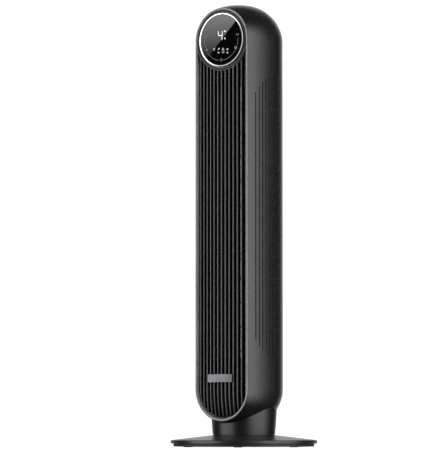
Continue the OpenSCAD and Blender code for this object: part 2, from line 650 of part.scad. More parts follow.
module wheel() color([0.08, 0.08, 0.09]) at_wheel() translate([0, 0, wheel_lo]) {
  linear_extrude(wheel_hi - wheel_lo - 0.5) for (i = [0:blades - 1]) rotate(i * 360 / blades) wheel_blade2d();
  cylinder(r = wheel_r, h = 2);
  for (i = [1:sections - 1]) difference() {
    translate([0, 0, i * sec_h]) cylinder(r = wheel_r, h = 2);
    translate([0, 0, i * sec_h - 1]) cylinder(r = wheel_r - 10, h = 4);
  }
  translate([0, 0, sections * sec_h]) cylinder(r = wheel_r, h = 2);
}

module wheel_hub() color([0.12, 0.12, 0.13]) at_wheel() difference() {
  translate([0, 0, 134.5]) cylinder(r = 14, h = wheel_lo - 134.6);
  translate([0, 0, 130]) cylinder(r = 4.02, h = 14.1);
  translate([0, 0, 139]) rotate([0, 90, 0]) cylinder(r = 1.55, h = 30);
}

module hub_screw() color([0.3, 0.3, 0.32]) at_wheel() translate([4.1, 0, 139]) rotate([0, 90, 0]) cylinder(r = 1.5, h = 9);

module wheel_top_pin() color([0.8, 0.8, 0.82]) at_wheel() {
  translate([0, 0, wheel_hi + 0.1]) cylinder(r = 4, h = 26);
  translate([0, 0, wheel_hi + 0.1]) cylinder(r = 9, h = 2);
}

module bearing_bush() color([0.72, 0.55, 0.3]) at_wheel() tube(4.05, 8, deck_hi + 4, deck_hi + 13);
module bearing_rubber() color([0.05, 0.05, 0.05]) at_wheel() tube(8.05, 12.5, deck_hi + 3.5, deck_hi + 13.5);
module bearing_holder() color([0.16, 0.16, 0.17]) at_wheel() difference() {
  union() {
    translate([0, 0, deck_hi + 3.1]) cylinder(r = 15, h = 12);
    translate([-24, -5, deck_hi + 3.1]) cube([48, 10, 2.4]);
  }
  translate([0, 0, deck_hi + 3.3]) cylinder(r = 12.6, h = 10.3);
  translate([0, 0, deck_hi]) cylinder(r = 7, h = 30);
  for (s = [-1, 1]) translate([20 * s, 0, deck_hi]) cylinder(r = 1.7, h = 10);
}

base_top_cover();
base_under_cover();
base_weight();
rubber_feet();
base_screws();
cord_gland();
spindle();
clamp_nut();
thrust_washer();
swing_gear();
spindle_clip();
turntable();
tower_pillars();
neck_shell();
neck_screws();
swing_motor();
swing_motor_screws();
swing_pinion();
rear_shell();
rear_grille();
rear_grille_screws();
shell_screws();
handle_screws();
handle_panel();
front_frame();
front_grille();
nameplate();
display_housing();
display_ring();
display_glass();
display_board();
display_lamps();
touch_springs();
main_board();
board_capacitor();
board_transformer();
board_connectors();
wire_harness();
air_duct();
duct_tongue();
lower_deck();
upper_deck();
motor_case();
motor_stator();
motor_coils();
motor_rubbers();
motor_screws();
motor_bushes();
bearing_holder();
bearing_rubber();
bearing_bush();
wheel();
wheel_hub();
wheel_top_pin();
motor_shaft();
motor_rotor();
hub_screw();
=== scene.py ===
import bpy
import bmesh
import math
from mathutils import Vector, Matrix


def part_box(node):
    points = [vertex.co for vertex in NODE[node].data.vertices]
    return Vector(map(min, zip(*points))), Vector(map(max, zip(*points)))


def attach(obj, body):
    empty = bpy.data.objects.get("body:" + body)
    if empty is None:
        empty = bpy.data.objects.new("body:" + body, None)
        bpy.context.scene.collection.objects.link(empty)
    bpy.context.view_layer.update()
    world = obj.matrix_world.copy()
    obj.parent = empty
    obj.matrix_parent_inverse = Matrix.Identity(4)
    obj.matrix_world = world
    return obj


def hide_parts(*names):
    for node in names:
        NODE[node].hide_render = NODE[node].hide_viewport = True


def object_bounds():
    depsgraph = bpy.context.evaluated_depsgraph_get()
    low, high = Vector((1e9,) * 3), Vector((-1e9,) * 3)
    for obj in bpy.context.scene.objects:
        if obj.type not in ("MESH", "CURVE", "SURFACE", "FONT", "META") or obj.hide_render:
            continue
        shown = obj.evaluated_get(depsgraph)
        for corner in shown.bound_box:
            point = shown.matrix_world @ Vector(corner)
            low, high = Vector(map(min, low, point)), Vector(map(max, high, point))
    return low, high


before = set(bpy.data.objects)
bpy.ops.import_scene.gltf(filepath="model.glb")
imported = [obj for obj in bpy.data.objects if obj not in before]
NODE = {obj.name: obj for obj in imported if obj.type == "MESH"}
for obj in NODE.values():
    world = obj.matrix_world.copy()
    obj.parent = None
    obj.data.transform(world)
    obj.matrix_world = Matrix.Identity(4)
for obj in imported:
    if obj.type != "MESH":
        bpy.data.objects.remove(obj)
CAD_LO, CAD_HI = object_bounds()
MM = 0.001


# ------------------------------------------------------------------ places, all from the frame
def span(node):
    lo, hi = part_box(node)
    return lo, hi, (lo + hi) / 2


GL_LO, GL_HI, GL_C = span("display_glass")
FR_LO, FR_HI, FR_C = span("front_frame")
RS_LO, RS_HI, RS_C = span("rear_shell")
GR_LO, GR_HI, GR_C = span("front_grille")
CAP_HI = GL_C.z * 1000                      # height of the display's centre, in mm
Y_FRONT = FR_LO.y * 1000                    # front face
RIM = FR_HI.x * 1000                        # half width of the front rim
CAP_LO = FR_LO.z * 1000 + RIM               # height of the lower round end's centre
GLASS_R = (GL_HI.x - GL_LO.x) * 500
RG_LO, RG_HI, RG_C = span("display_ring")
RING_R = (RG_HI.x - RG_LO.x) * 500


# ------------------------------------------------------------------ node material helpers
def new_mat(name):
    m = bpy.data.materials.new(name)
    m.use_nodes = True
    nt = m.node_tree
    nt.nodes.clear()
    out = nt.nodes.new("ShaderNodeOutputMaterial")
    bs = nt.nodes.new("ShaderNodeBsdfPrincipled")
    nt.links.new(bs.outputs[0], out.inputs[0])
    return m, nt, bs


def n_(nt, kind, **vals):
    n = nt.nodes.new(kind)
    for k, v in vals.items():
        if k in n.inputs.keys():
            n.inputs[k].default_value = v
        else:
            setattr(n, k, v)
    return n


def coords(nt, scale=(1, 1, 1)):
    tc = nt.nodes.new("ShaderNodeTexCoord")
    mp = nt.nodes.new("ShaderNodeMapping")
    mp.inputs["Scale"].default_value = scale
    nt.links.new(tc.outputs["Object"], mp.inputs["Vector"])
    return mp.outputs[0]


def noise_(nt, vec, scale, detail=3, rough=0.5):
    n = nt.nodes.new("ShaderNodeTexNoise")
    n.inputs["Scale"].default_value = scale
    n.inputs["Detail"].default_value = detail
    n.inputs["Roughness"].default_value = rough
    nt.links.new(vec, n.inputs["Vector"])
    return n.outputs["Fac"]


def ramp_(nt, fac, lo, hi, a=0.3, b=0.7):
    r = nt.nodes.new("ShaderNodeMapRange")
    r.inputs["From Min"].default_value = a
    r.inputs["From Max"].default_value = b
    r.inputs["To Min"].default_value = lo
    r.inputs["To Max"].default_value = hi
    nt.links.new(fac, r.inputs["Value"])
    return r.outputs[0]


def mix_(nt, fac, ca, cb):
    m = nt.nodes.new("ShaderNodeMix")
    m.data_type = "RGBA"
    if isinstance(fac, float):
        m.inputs[0].default_value = fac
    else:
        nt.links.new(fac, m.inputs[0])
    for sock, c in ((m.inputs[6], ca), (m.inputs[7], cb)):
        if isinstance(c, tuple):
            sock.default_value = (*c[:3], 1)
        else:
            nt.links.new(c, sock)
    return m.outputs[2]


def edge_mask(nt, radius, lo=0.02, hi=0.25):
    """1 on edges, 0 on flats: how far a rounded-over normal leans from the true one."""
    bv = nt.nodes.new("ShaderNodeBevel")
    bv.samples = 4
    bv.inputs["Radius"].default_value = radius
    ge = nt.nodes.new("ShaderNodeNewGeometry")
    d = nt.nodes.new("ShaderNodeVectorMath")
    d.operation = "DOT_PRODUCT"
    nt.links.new(bv.outputs[0], d.inputs[0])
    nt.links.new(ge.outputs["Normal"], d.inputs[1])
    return ramp_(nt, d.outputs["Value"], 1.0, 0.0, 1 - hi, 1 - lo), bv.outputs[0]


def bump_(nt, height, strength, distance, normal=None):
    b = nt.nodes.new("ShaderNodeBump")
    b.inputs["Strength"].default_value = strength
    b.inputs["Distance"].default_value = distance
    nt.links.new(height, b.inputs["Height"])
    if normal is not None:
        nt.links.new(normal, b.inputs["Normal"])
    return b.outputs[0]


def shade(color, k):
    return tuple(min(1.0, c * k) for c in color)


def plastic(name, color, rough=0.4, grain=900.0, grain_h=0.00006, mottle=0.12, coat=0.0, spec=0.5,
            edge=0.0006, edge_wear_and_highlight=1.5, dust=0.0, rough_var=0.06):
    """Moulded plastic: fine spark-eroded grain, faint mottling, handling marks in the gloss, paler edges (worn edges,
    and where the edge factor is high a painted highlight).
    """
    m, nt, bs = new_mat(name)
    L = nt.links
    v = coords(nt)
    slow = noise_(nt, v, 9.0, 4, 0.6)
    fine = noise_(nt, v, grain, 2, 0.6)
    mid = noise_(nt, v, 60.0, 5, 0.65)
    base = mix_(nt, ramp_(nt, slow, 0, 1, 0.35, 0.65), shade(color, 1 - mottle), shade(color, 1 + mottle))
    base = mix_(nt, ramp_(nt, fine, 0.0, 0.35, 0.35, 0.7), base, shade(color, 1.35))
    mask, bevelled = edge_mask(nt, edge)
    edge_wear_and_highlight_mask = nt.nodes.new("ShaderNodeMath")
    edge_wear_and_highlight_mask.operation = "MULTIPLY"
    L.new(mask, edge_wear_and_highlight_mask.inputs[0])
    L.new(ramp_(nt, mid, 0.25, 0.9, 0.4, 0.65), edge_wear_and_highlight_mask.inputs[1])
    # edges paled by the mask: real worn edges, and where the edge factor is high (the grille) a painted highlight
    base = mix_(nt, edge_wear_and_highlight_mask.outputs[0], base, shade(color, edge_wear_and_highlight))
    if dust:
        ge = nt.nodes.new("ShaderNodeNewGeometry")
        sx = nt.nodes.new("ShaderNodeSeparateXYZ")
        L.new(ge.outputs["Normal"], sx.inputs[0])
        up = ramp_(nt, sx.outputs["Z"], 0.0, dust, 0.6, 1.0)
        md = nt.nodes.new("ShaderNodeMath")
        md.operation = "MULTIPLY"
        L.new(up, md.inputs[0])
        L.new(ramp_(nt, mid, 0.3, 1.0, 0.35, 0.7), md.inputs[1])
        base = mix_(nt, md.outputs[0], base, (0.35, 0.34, 0.32))
    L.new(base, bs.inputs["Base Color"])
    L.new(ramp_(nt, mid, rough - rough_var, rough + rough_var), bs.inputs["Roughness"])
    L.new(bump_(nt, fine, 0.5, grain_h, bevelled), bs.inputs["Normal"])
    bs.inputs["Specular IOR Level"].default_value = spec
    bs.inputs["Coat Weight"].default_value = coat
    bs.inputs["Coat Roughness"].default_value = 0.12
    return m


def metal(name, color, rough=0.3, brush=(1, 1, 1), scale=120.0, var=0.12, bump=0.00003, tarnish=None, edge=0.0003, fade=None):
    """Metal with drawn or rolled lines along the axis whose scale is small, patchy gloss, bright edges and, where fade
    is given, a painted shade that darkens it along an axis.
    """
    m, nt, bs = new_mat(name)
    L = nt.links
    v = coords(nt, brush)
    lines = noise_(nt, v, scale, 5, 0.65)
    patch = noise_(nt, coords(nt), 35.0, 4, 0.6)
    base = mix_(nt, ramp_(nt, lines, 0, 1, 0.3, 0.7), shade(color, 1 - var), shade(color, 1 + var * 0.6))
    if tarnish:
        base = mix_(nt, ramp_(nt, patch, 0.0, 0.55, 0.5, 0.75), base, tarnish)
    # fade paints shade: the colour darkens along the axis, from lo to hi, down to the given factor
    if fade:
        axis, lo, hi, painted_shade_factor = fade
        dp = nt.nodes.new("ShaderNodeVectorMath")
        dp.operation = "DOT_PRODUCT"
        dp.inputs[1].default_value = axis
        L.new(coords(nt), dp.inputs[0])
        base = mix_(nt, ramp_(nt, dp.outputs["Value"], 0.0, 1.0, lo, hi), base, shade(color, painted_shade_factor))
    mask, bevelled = edge_mask(nt, edge)
    base = mix_(nt, mask, base, shade(color, 1.25))
    L.new(base, bs.inputs["Base Color"])
    L.new(ramp_(nt, patch, rough * 0.8, rough * 1.25), bs.inputs["Roughness"])
    L.new(bump_(nt, lines, 0.4, bump, bevelled), bs.inputs["Normal"])
    bs.inputs["Metallic"].default_value = 1.0
    return m


def rubber(name, color=(0.02, 0.02, 0.021)):
    m, nt, bs = new_mat(name)
    L = nt.links
    v = coords(nt)
    a = noise_(nt, v, 400.0, 3, 0.6)
    b = noise_(nt, v, 30.0, 4, 0.6)
    L.new(mix_(nt, ramp_(nt, b, 0, 1), shade(color, 0.8), shade(color, 1.5)), bs.inputs["Base Color"])
    L.new(ramp_(nt, b, 0.68, 0.86), bs.inputs["Roughness"])
    mask, bevelled = edge_mask(nt, 0.0005)
    L.new(bump_(nt, a, 0.6, 0.0001, bevelled), bs.inputs["Normal"])
    return m


def board_mat(name):
    """Circuit board: solder mask over a grid of tracks, with bright pads."""
    m, nt, bs = new_mat(name)
    L = nt.links
    v = coords(nt)
    br = nt.nodes.new("ShaderNodeTexBrick")
    br.inputs["Scale"].default_value = 190.0
    br.inputs["Mortar Size"].default_value = 0.06
    br.inputs["Color1"].default_value = (0.010, 0.085, 0.035, 1)
    br.inputs["Color2"].default_value = (0.014, 0.11, 0.045, 1)
    br.inputs["Mortar"].default_value = (0.02, 0.17, 0.07, 1)
    sw = nt.nodes.new("ShaderNodeVectorRotate")
    sw.rotation_type = "X_AXIS"
    sw.inputs["Angle"].default_value = math.radians(90)
    L.new(v, sw.inputs["Vector"])
    L.new(sw.outputs[0], br.inputs["Vector"])
    vo = nt.nodes.new("ShaderNodeTexVoronoi")
    vo.inputs["Scale"].default_value = 260.0
    L.new(v, vo.inputs["Vector"])
    pads = ramp_(nt, vo.outputs["Distance"], 1.0, 0.0, 0.12, 0.2)
    L.new(mix_(nt, pads, br.outputs["Color"], (0.55, 0.5, 0.4)), bs.inputs["Base Color"])
    L.new(pads, bs.inputs["Metallic"])
    bs.inputs["Roughness"].default_value = 0.3
    L.new(bump_(nt, br.outputs["Fac"], 0.3, 0.00005), bs.inputs["Normal"])
    return m


def winding_mat(name):
    """Enamelled copper wire wound in rings."""
    m, nt, bs = new_mat(name)
    L = nt.links
    v = coords(nt)
    w = nt.nodes.new("ShaderNodeTexWave")
    w.wave_type = "RINGS"
    w.rings_direction = "Z"
    w.inputs["Scale"].default_value = 280.0
    w.inputs["Distortion"].default_value = 1.5
    L.new(v, w.inputs["Vector"])
    w2 = nt.nodes.new("ShaderNodeTexWave")
    w2.bands_direction = "Z"
    w2.inputs["Scale"].default_value = 320.0
    w2.inputs["Distortion"].default_value = 1.0
    L.new(v, w2.inputs["Vector"])
    ad = nt.nodes.new("ShaderNodeMath")
    L.new(w.outputs["Fac"], ad.inputs[0])
    L.new(w2.outputs["Fac"], ad.inputs[1])
    L.new(mix_(nt, ramp_(nt, ad.outputs[0], 0, 1, 0.3, 1.6), (0.14, 0.045, 0.015), (0.72, 0.33, 0.14)), bs.inputs["Base Color"])
    bs.inputs["Metallic"].default_value = 0.8
    bs.inputs["Roughness"].default_value = 0.32
    L.new(bump_(nt, ad.outputs[0], 0.8, 0.0002), bs.inputs["Normal"])
    return m


def lamination_mat(name):
    """Stacked sheets, one every half millimetre."""
    m, nt, bs = new_mat(name)
    L = nt.links
    v = coords(nt)
    w = nt.nodes.new("ShaderNodeTexWave")
    w.bands_direction = "Z"
    w.inputs["Scale"].default_value = 320.0
    L.new(v, w.inputs["Vector"])
    p = noise_(nt, v, 80.0, 4, 0.6)
    c = mix_(nt, ramp_(nt, w.outputs["Fac"], 0, 1, 0.2, 0.8), (0.08, 0.08, 0.085), (0.34, 0.34, 0.36))
    L.new(mix_(nt, ramp_(nt, p, 0.0, 0.5, 0.5, 0.75), c, (0.16, 0.09, 0.06)), bs.inputs["Base Color"])
    bs.inputs["Metallic"].default_value = 0.9
    bs.inputs["Roughness"].default_value = 0.42
    L.new(bump_(nt, w.outputs["Fac"], 0.7, 0.0001), bs.inputs["Normal"])
    return m


def glass_black(name):
    """Black-backed touch glass: deep gloss, with faint smears that only show in the reflection."""
    m, nt, bs = new_mat(name)
    L = nt.links
    v = coords(nt)
    smear = noise_(nt, coords(nt, (1, 1, 0.35)), 45.0, 4, 0.6)
    L.new(mix_(nt, ramp_(nt, noise_(nt, v, 14.0, 3), 0, 1), (0.0022, 0.0023, 0.0027), (0.0032, 0.0034, 0.004)), bs.inputs["Base Color"])
    L.new(ramp_(nt, smear, 0.006, 0.02, 0.45, 0.75), bs.inputs["Roughness"])
    mask, bevelled = edge_mask(nt, 0.0003)
    L.new(bevelled, bs.inputs["Normal"])
    bs.inputs["IOR"].default_value = 1.52
    return m


def lit(name, color, strength):
    """A lit sign behind glass: slightly uneven light."""
    m, nt, bs = new_mat(name)
    L = nt.links
    v = coords(nt)
    c = mix_(nt, ramp_(nt, noise_(nt, v, 220.0, 3), 0, 1), shade(color, 0.86), color)
    L.new(c, bs.inputs["Base Color"])
    L.new(c, bs.inputs["Emission Color"])
    bs.inputs["Emission Strength"].default_value = strength
    L.new(ramp_(nt, noise_(nt, v, 90.0, 3), 0.3, 0.5), bs.inputs["Roughness"])
    return m


M = {
    "shell": plastic("shell_black_satin", (0.0105, 0.011, 0.012), rough=0.27, grain=1100, grain_h=0.00002, edge_wear_and_highlight=1.6, dust=0.05, mottle=0.08, rough_var=0.025),
    # the grille's edge factor of 3.0 paints its bar edges much lighter: a painted highlight on the bar noses, beyond
    # real wear
    "grille": plastic("grille_black_satin", (0.034, 0.035, 0.037), rough=0.2, grain=1400, grain_h=0.00003, edge_wear_and_highlight=3.0, edge=0.0004, spec=0.95),
    "frame": plastic("frame_graphite", (0.24, 0.245, 0.25), rough=0.3, grain=1500, grain_h=0.00003, edge_wear_and_highlight=2.2, edge=0.0007),
    "housing": plastic("housing_graphite", (0.022, 0.023, 0.025), rough=0.4, grain=1500, grain_h=0.00004, edge_wear_and_highlight=2.0),
    "base": plastic("base_gloss_black", (0.0135, 0.014, 0.015), rough=0.34, grain=1800, grain_h=0.000015, coat=0.1, spec=0.33, edge_wear_and_highlight=1.5, dust=0.03, rough_var=0.04),
    "neck": plastic("neck_black_satin", (0.0065, 0.0067, 0.0073), rough=0.34, grain=1300, grain_h=0.00003, edge_wear_and_highlight=1.0, edge=0.0002, spec=0.36),
    "inner": plastic("inner_black_matt", (0.012, 0.012, 0.0125), rough=0.6, grain=700, grain_h=0.00008, edge_wear_and_highlight=1.8, dust=0.1),
    "white": plastic("acetal_white", (0.72, 0.70, 0.64), rough=0.38, grain=900, grain_h=0.00004, edge_wear_and_highlight=1.08, mottle=0.05),
    # the ring's fade is a painted shade: its colour darkens towards the lower right of the ring
    "ring": metal("ring_satin_chrome", (0.60, 0.61, 0.625), rough=0.16, brush=(1, 0.2, 1), scale=500, var=0.06, bump=0.000008,
                  fade=((0.8, 0.0, -0.6), -0.6 * CAP_HI / 1000 - 0.012, -0.6 * CAP_HI / 1000 + 0.03, 0.27)),
    # the plate's fade is a painted shade: its colour darkens towards its right side
    "plate": metal("plate_brushed", (0.115, 0.118, 0.123), rough=0.36, brush=(0.05, 1, 1), scale=2600, var=0.2, bump=0.00001,
                   fade=((1.0, 0.0, 0.0), -0.036, 0.032, 0.45)),
    "steel": metal("steel_zinc", (0.55, 0.56, 0.57), rough=0.32, brush=(1, 1, 0.3), scale=300, tarnish=(0.36, 0.34, 0.29)),
    "black_screw": metal("screw_blackened", (0.07, 0.07, 0.075), rough=0.38, scale=300, edge=0.0002),
    "iron": metal("weight_iron", (0.2, 0.2, 0.205), rough=0.6, scale=90, bump=0.0004, tarnish=(0.16, 0.08, 0.045)),
    "alu": metal("motor_aluminium", (0.6, 0.61, 0.62), rough=0.42, scale=200, bump=0.0001),
    "case": metal("motor_case_dark", (0.045, 0.045, 0.048), rough=0.5, scale=200, bump=0.0001),
    "bronze": metal("bush_bronze", (0.6, 0.4, 0.2), rough=0.4, scale=700, bump=0.00005, tarnish=(0.3, 0.18, 0.09)),
    "rubber": rubber("rubber_black"),
    "board": board_mat("circuit_board"),
    "winding": winding_mat("copper_winding"),
    "lamination": lamination_mat("core_laminations"),
    "cap_sleeve": plastic("capacitor_sleeve", (0.012, 0.02, 0.09), rough=0.2, grain=500, edge_wear_and_highlight=1.6, coat=0.4),
    "tape": plastic("transformer_tape", (0.62, 0.42, 0.06), rough=0.3, grain=400, edge_wear_and_highlight=1.15),
    "glass": glass_black("touch_glass"),
    "lip": plastic("lip_graphite", (0.05, 0.051, 0.054), rough=0.34, grain=1500, grain_h=0.00003, edge_wear_and_highlight=2.0),
    "lamp": lit("lamp_white", (0.85, 0.92, 1.0), 0.25),
    "sign": lit("sign_white", (0.90, 0.95, 1.0), 0.40),
    "sign_mid": lit("sign_mid", (0.58, 0.61, 0.65), 0.13),
    "sign_dim": lit("sign_dim", (0.24, 0.255, 0.275), 0.035),
}

FINISH = {
    "base_top_cover": "base", "base_under_cover": "inner", "base_weight": "iron", "rubber_feet": "rubber",
    "base_screws": "steel", "cord_gland": "rubber", "spindle": "steel", "clamp_nut": "inner", "thrust_washer": "white",
    "swing_gear": "white", "spindle_clip": "steel", "turntable": "inner", "tower_pillars": "steel", "neck_shell": "neck",
    "neck_screws": "steel", "swing_motor": "steel", "swing_motor_screws": "steel", "swing_pinion": "white",
    "rear_shell": "shell", "rear_grille": "shell", "rear_grille_screws": "black_screw", "handle_screws": "black_screw",
    "shell_screws": "black_screw", "handle_panel": "shell", "front_frame": "frame", "front_grille": "grille",
    "nameplate": "plate", "display_housing": "housing", "display_ring": "ring", "display_glass": "glass",
    "display_board": "board", "display_lamps": "lamp", "touch_springs": "steel", "main_board": "board",
    "board_capacitor": "cap_sleeve", "board_transformer": "tape", "board_connectors": "white", "wire_harness": "rubber",
    "air_duct": "inner", "duct_tongue": "inner", "lower_deck": "inner", "upper_deck": "inner", "motor_case": "case",
    "motor_stator": "lamination", "motor_coils": "winding", "motor_rubbers": "rubber", "motor_screws": "steel",
    "motor_bushes": "bronze", "bearing_holder": "inner", "bearing_rubber": "rubber", "bearing_bush": "bronze",
    "wheel": "inner", "wheel_hub": "inner", "wheel_top_pin": "steel", "motor_shaft": "steel",
    "motor_rotor": "lamination", "hub_screw": "black_screw",
}
for name, o in NODE.items():
    o.data.materials.clear()
    o.data.materials.append(M[FINISH.get(name, "inner")])


# ------------------------------------------------------------------ mesh helpers (millimetres in, metres out)
def piece(name, verts, faces, mat, body, replaces=(), smooth=True, scale=MM):
    me = bpy.data.meshes.new(name)
    me.from_pydata([Vector(v) * scale for v in verts], [], faces)
    me.validate()
    bm = bmesh.new()
    bm.from_mesh(me)
    bmesh.ops.remove_doubles(bm, verts=bm.verts, dist=1e-7)
    bmesh.ops.recalc_face_normals(bm, faces=bm.faces)
    bm.to_mesh(me)
    bm.free()
    for p in me.polygons:
        p.use_smooth = smooth
    o = bpy.data.objects.new(name, me)
    bpy.context.scene.collection.objects.link(o)
    me.materials.append(mat)
    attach(o, body)
    if replaces:
        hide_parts(*replaces)
    return o


class Shape:
    """Collects closed solids into one mesh."""

    def __init__(self):
        self.v, self.f = [], []

    def add(self, verts, faces):
        k = len(self.v)
        self.v += [tuple(p) for p in verts]
        self.f += [tuple(i + k for i in f) for f in faces]

    def prism(self, loop, y0, y1, place):
        """A flat outline of (x, z) points, thick from y0 to y1; place maps (x, y, z)."""
        n = len(loop)
        self.add([place(x, y0, z) for x, z in loop] + [place(x, y1, z) for x, z in loop],
                 [tuple(range(n)), tuple(range(2 * n - 1, n - 1, -1))] +
                 [(i, (i + 1) % n, n + (i + 1) % n, n + i) for i in range(n)])

    def band(self, inner, outer, y0, y1, place, closed=True):
        """A flat band between two outlines of the same length."""
        n = len(inner)
        vs = [place(x, y0, z) for x, z in inner] + [place(x, y0, z) for x, z in outer] + \
             [place(x, y1, z) for x, z in inner] + [place(x, y1, z) for x, z in outer]
        fs = []
        m = n if closed else n - 1
        for i in range(m):
            j = (i + 1) % n
            fs += [(i, j, n + j, n + i), (2 * n + i, 3 * n + i, 3 * n + j, 2 * n + j),
                   (i, 2 * n + i, 2 * n + j, j), (n + i, n + j, 3 * n + j, 3 * n + i)]
        if not closed:
            fs += [(0, n, 3 * n, 2 * n), (n - 1, 3 * n - 1, 4 * n - 1, 2 * n - 1)]
        self.add(vs, fs)


def lathe_y(profile, cz, segs=192, cx=0.0):
    """Turns a closed (radius, y) outline about a line along Y at height cz."""
    vs, fs = [], []
    n = len(profile)
    for s in range(segs):
        a = 2 * math.pi * s / segs
        for r, y in profile:
            vs.append((cx + r * math.cos(a), y, cz + r * math.sin(a)))
    for s in range(segs):
        t = (s + 1) % segs
        for i in range(n):
            j = (i + 1) % n
            fs.append((s * n + i, t * n + i, t * n + j, s * n + j))
    return vs, fs


def round_loop(pts, r, steps=4):
    """Rounds the corners of a closed outline."""
    out = []
    n = len(pts)
    for i in range(n):
        p, a, b = Vector(pts[i]), Vector(pts[i - 1]), Vector(pts[(i + 1) % n])
        u, w = (a - p).normalized(), (b - p).normalized()
        q = min(r, (a - p).length * 0.45, (b - p).length * 0.45)
        s, e = p + u * q, p + w * q
        for k in range(steps + 1):
            t = k / steps
            out.append(tuple(s * (1 - t) ** 2 + p * 2 * t * (1 - t) + e * t * t))
    return out


# ------------------------------------------------------------------ front grille: thirteen rounded bars on a pillow-shaped front
def here(x, y, z):
    return (x, y, z)


BULGE = 262.0
PITCH = 9.5
BAR = 2.2
GR_R = GR_HI.x * 1000                        # half width of the grille


def pillow(r):
    """How far the front of the bars falls back at a distance r from the middle line."""
    return BULGE - math.sqrt(BULGE * BULGE - r * r)


bars = Shape()
for k in range(-6, 7):
    xk = k * PITCH
    sec = [(-BAR / 2, 14.0)]
    for t in range(9):
        a = math.pi * t / 8
        sec.append((-BAR / 2 * math.cos(a), 1.0 - 1.0 * math.sin(a)))
    sec.append((BAR / 2, 14.0))
    rows = []
    low = math.sqrt(max(0.0, GR_R ** 2 - xk * xk))
    steps = [CAP_LO - low * (1 - i / 14) for i in range(14)] + [CAP_LO, CAP_LO + 200, CAP_LO + 420, "near", "top"]
    for z in steps:
        row = []
        for dx, dy in sec:
            x = xk + dx
            if isinstance(z, str):
                zz = CAP_HI - math.sqrt(61.9 ** 2 - x * x) - (1.5 if z == "near" else 0.0)
            elif z < CAP_LO:
                zz = CAP_LO - math.sqrt(max(0.0, GR_R ** 2 - x * x)) * (CAP_LO - z) / max(low, 1e-6)
            else:
                zz = z
            r = math.hypot(x, min(0.0, zz - CAP_LO))
            y = Y_FRONT + (pillow(min(r, GR_R)) + dy if dy < 2 else dy)
            row.append((x, y, zz))
        rows.append(row)
    n = len(sec)
    vs = [p for row in rows for p in row]
    fs = [tuple(range(n)), tuple(range(len(vs) - 1, len(vs) - n - 1, -1))]
    for j in range(len(rows) - 1):
        for i in range(n):
            i2 = (i + 1) % n
            fs.append((j * n + i, (j + 1) * n + i, (j + 1) * n + i2, j * n + i2))
    bars.add(vs, fs)


def u_path(r, top, step=3):
    """The U-shaped line at distance r round the grille's lower end, from the top right to the top left."""
    pts = [(r, top)] + [(r * math.cos(math.radians(a)), CAP_LO - r * math.sin(math.radians(a))) for a in range(0, 181, step)] + [(-r, top)]
    return pts


bars.band(u_path(GR_R - 2.0, CAP_HI - 8), u_path(GR_R, CAP_HI - 8), Y_FRONT + 8, Y_FRONT + 15.5, here, closed=False)
for i in range(8):
    z = 150 + (CAP_HI - 95 - 150) * i / 7
    loop = round_loop([(-60, z), (60, z), (60, z + 1.8), (-60, z + 1.8)], 0.5, 3)
    bars.prism(loop, Y_FRONT + 11.5, Y_FRONT + 14, here)
piece("grille_bars", bars.v, bars.f, M["grille"], "tower", replaces=("front_grille",), smooth=True)

# the raised lip under the round display, part of the grille
lip_v, lip_f = [], []
prof = [(61.45, 14.0), (61.45, 2.4), (61.7, 1.7), (62.2, 1.35), (63.0, 1.3), (63.6, 1.6), (63.95, 2.4), (64.0, 14.0)]
SPAN = [180 + 14 + (152.0) * i / 96 for i in range(97)]
for a in SPAN:
    ca, sa = math.cos(math.radians(a)), math.sin(math.radians(a))
    for r, y in prof:
        lip_v.append((r * ca, Y_FRONT + y, CAP_HI + r * sa))
m = len(prof)
for s_ in range(len(SPAN) - 1):
    for i in range(m):
        j = (i + 1) % m
        lip_f.append((s_ * m + i, s_ * m + j, (s_ + 1) * m + j, (s_ + 1) * m + i))
lip_f += [tuple(range(m)), tuple(range(len(lip_v) - 1, len(lip_v) - m - 1, -1))]
piece("display_lip", lip_v, lip_f, M["lip"], "tower")

# ------------------------------------------------------------------ bright ring round the glass
mid, half = (GLASS_R + 0.1 + RING_R) / 2, (RING_R - GLASS_R - 0.1) / 2
prof = [(mid - half * math.cos(math.pi * t / 16), Y_FRONT + 1.35 - 1.6 * math.sin(math.pi * t / 16) ** 0.4) for t in range(17)]
prof += [(RING_R, Y_FRONT + 3.1), (GLASS_R + 0.1, Y_FRONT + 3.1)]
rv, rf = lathe_y(prof, CAP_HI, 256)
piece("display_ring_turned", rv, rf, M["ring"], "tower", replaces=("display_ring",))

# ------------------------------------------------------------------ lit signs and touch marks on the glass
G0, G1 = Y_FRONT + 0.23, Y_FRONT + 0.36


def sign_place(cx, cz, lean=0.0):
    return lambda x, y, z: (cx + x + z * lean, y, CAP_HI + cz + z)


def disc(sh, cx, cz, r, n=20):
    sh.prism([(r * math.cos(2 * math.pi * i / n), r * math.sin(2 * math.pi * i / n)) for i in range(n)], G0, G1, sign_place(cx, cz))


def hoop(sh, cx, cz, r0, r1, a0=0.0, a1=360.0, n=28):
    full = abs(a1 - a0) >= 360
    cnt = n if full else n + 1
    an = [math.radians(a0 + (a1 - a0) * i / n) for i in range(cnt)]
    sh.band([(r0 * math.cos(a), r0 * math.sin(a)) for a in an], [(r1 * math.cos(a), r1 * math.sin(a)) for a in an],
            G0, G1, sign_place(cx, cz), closed=full)


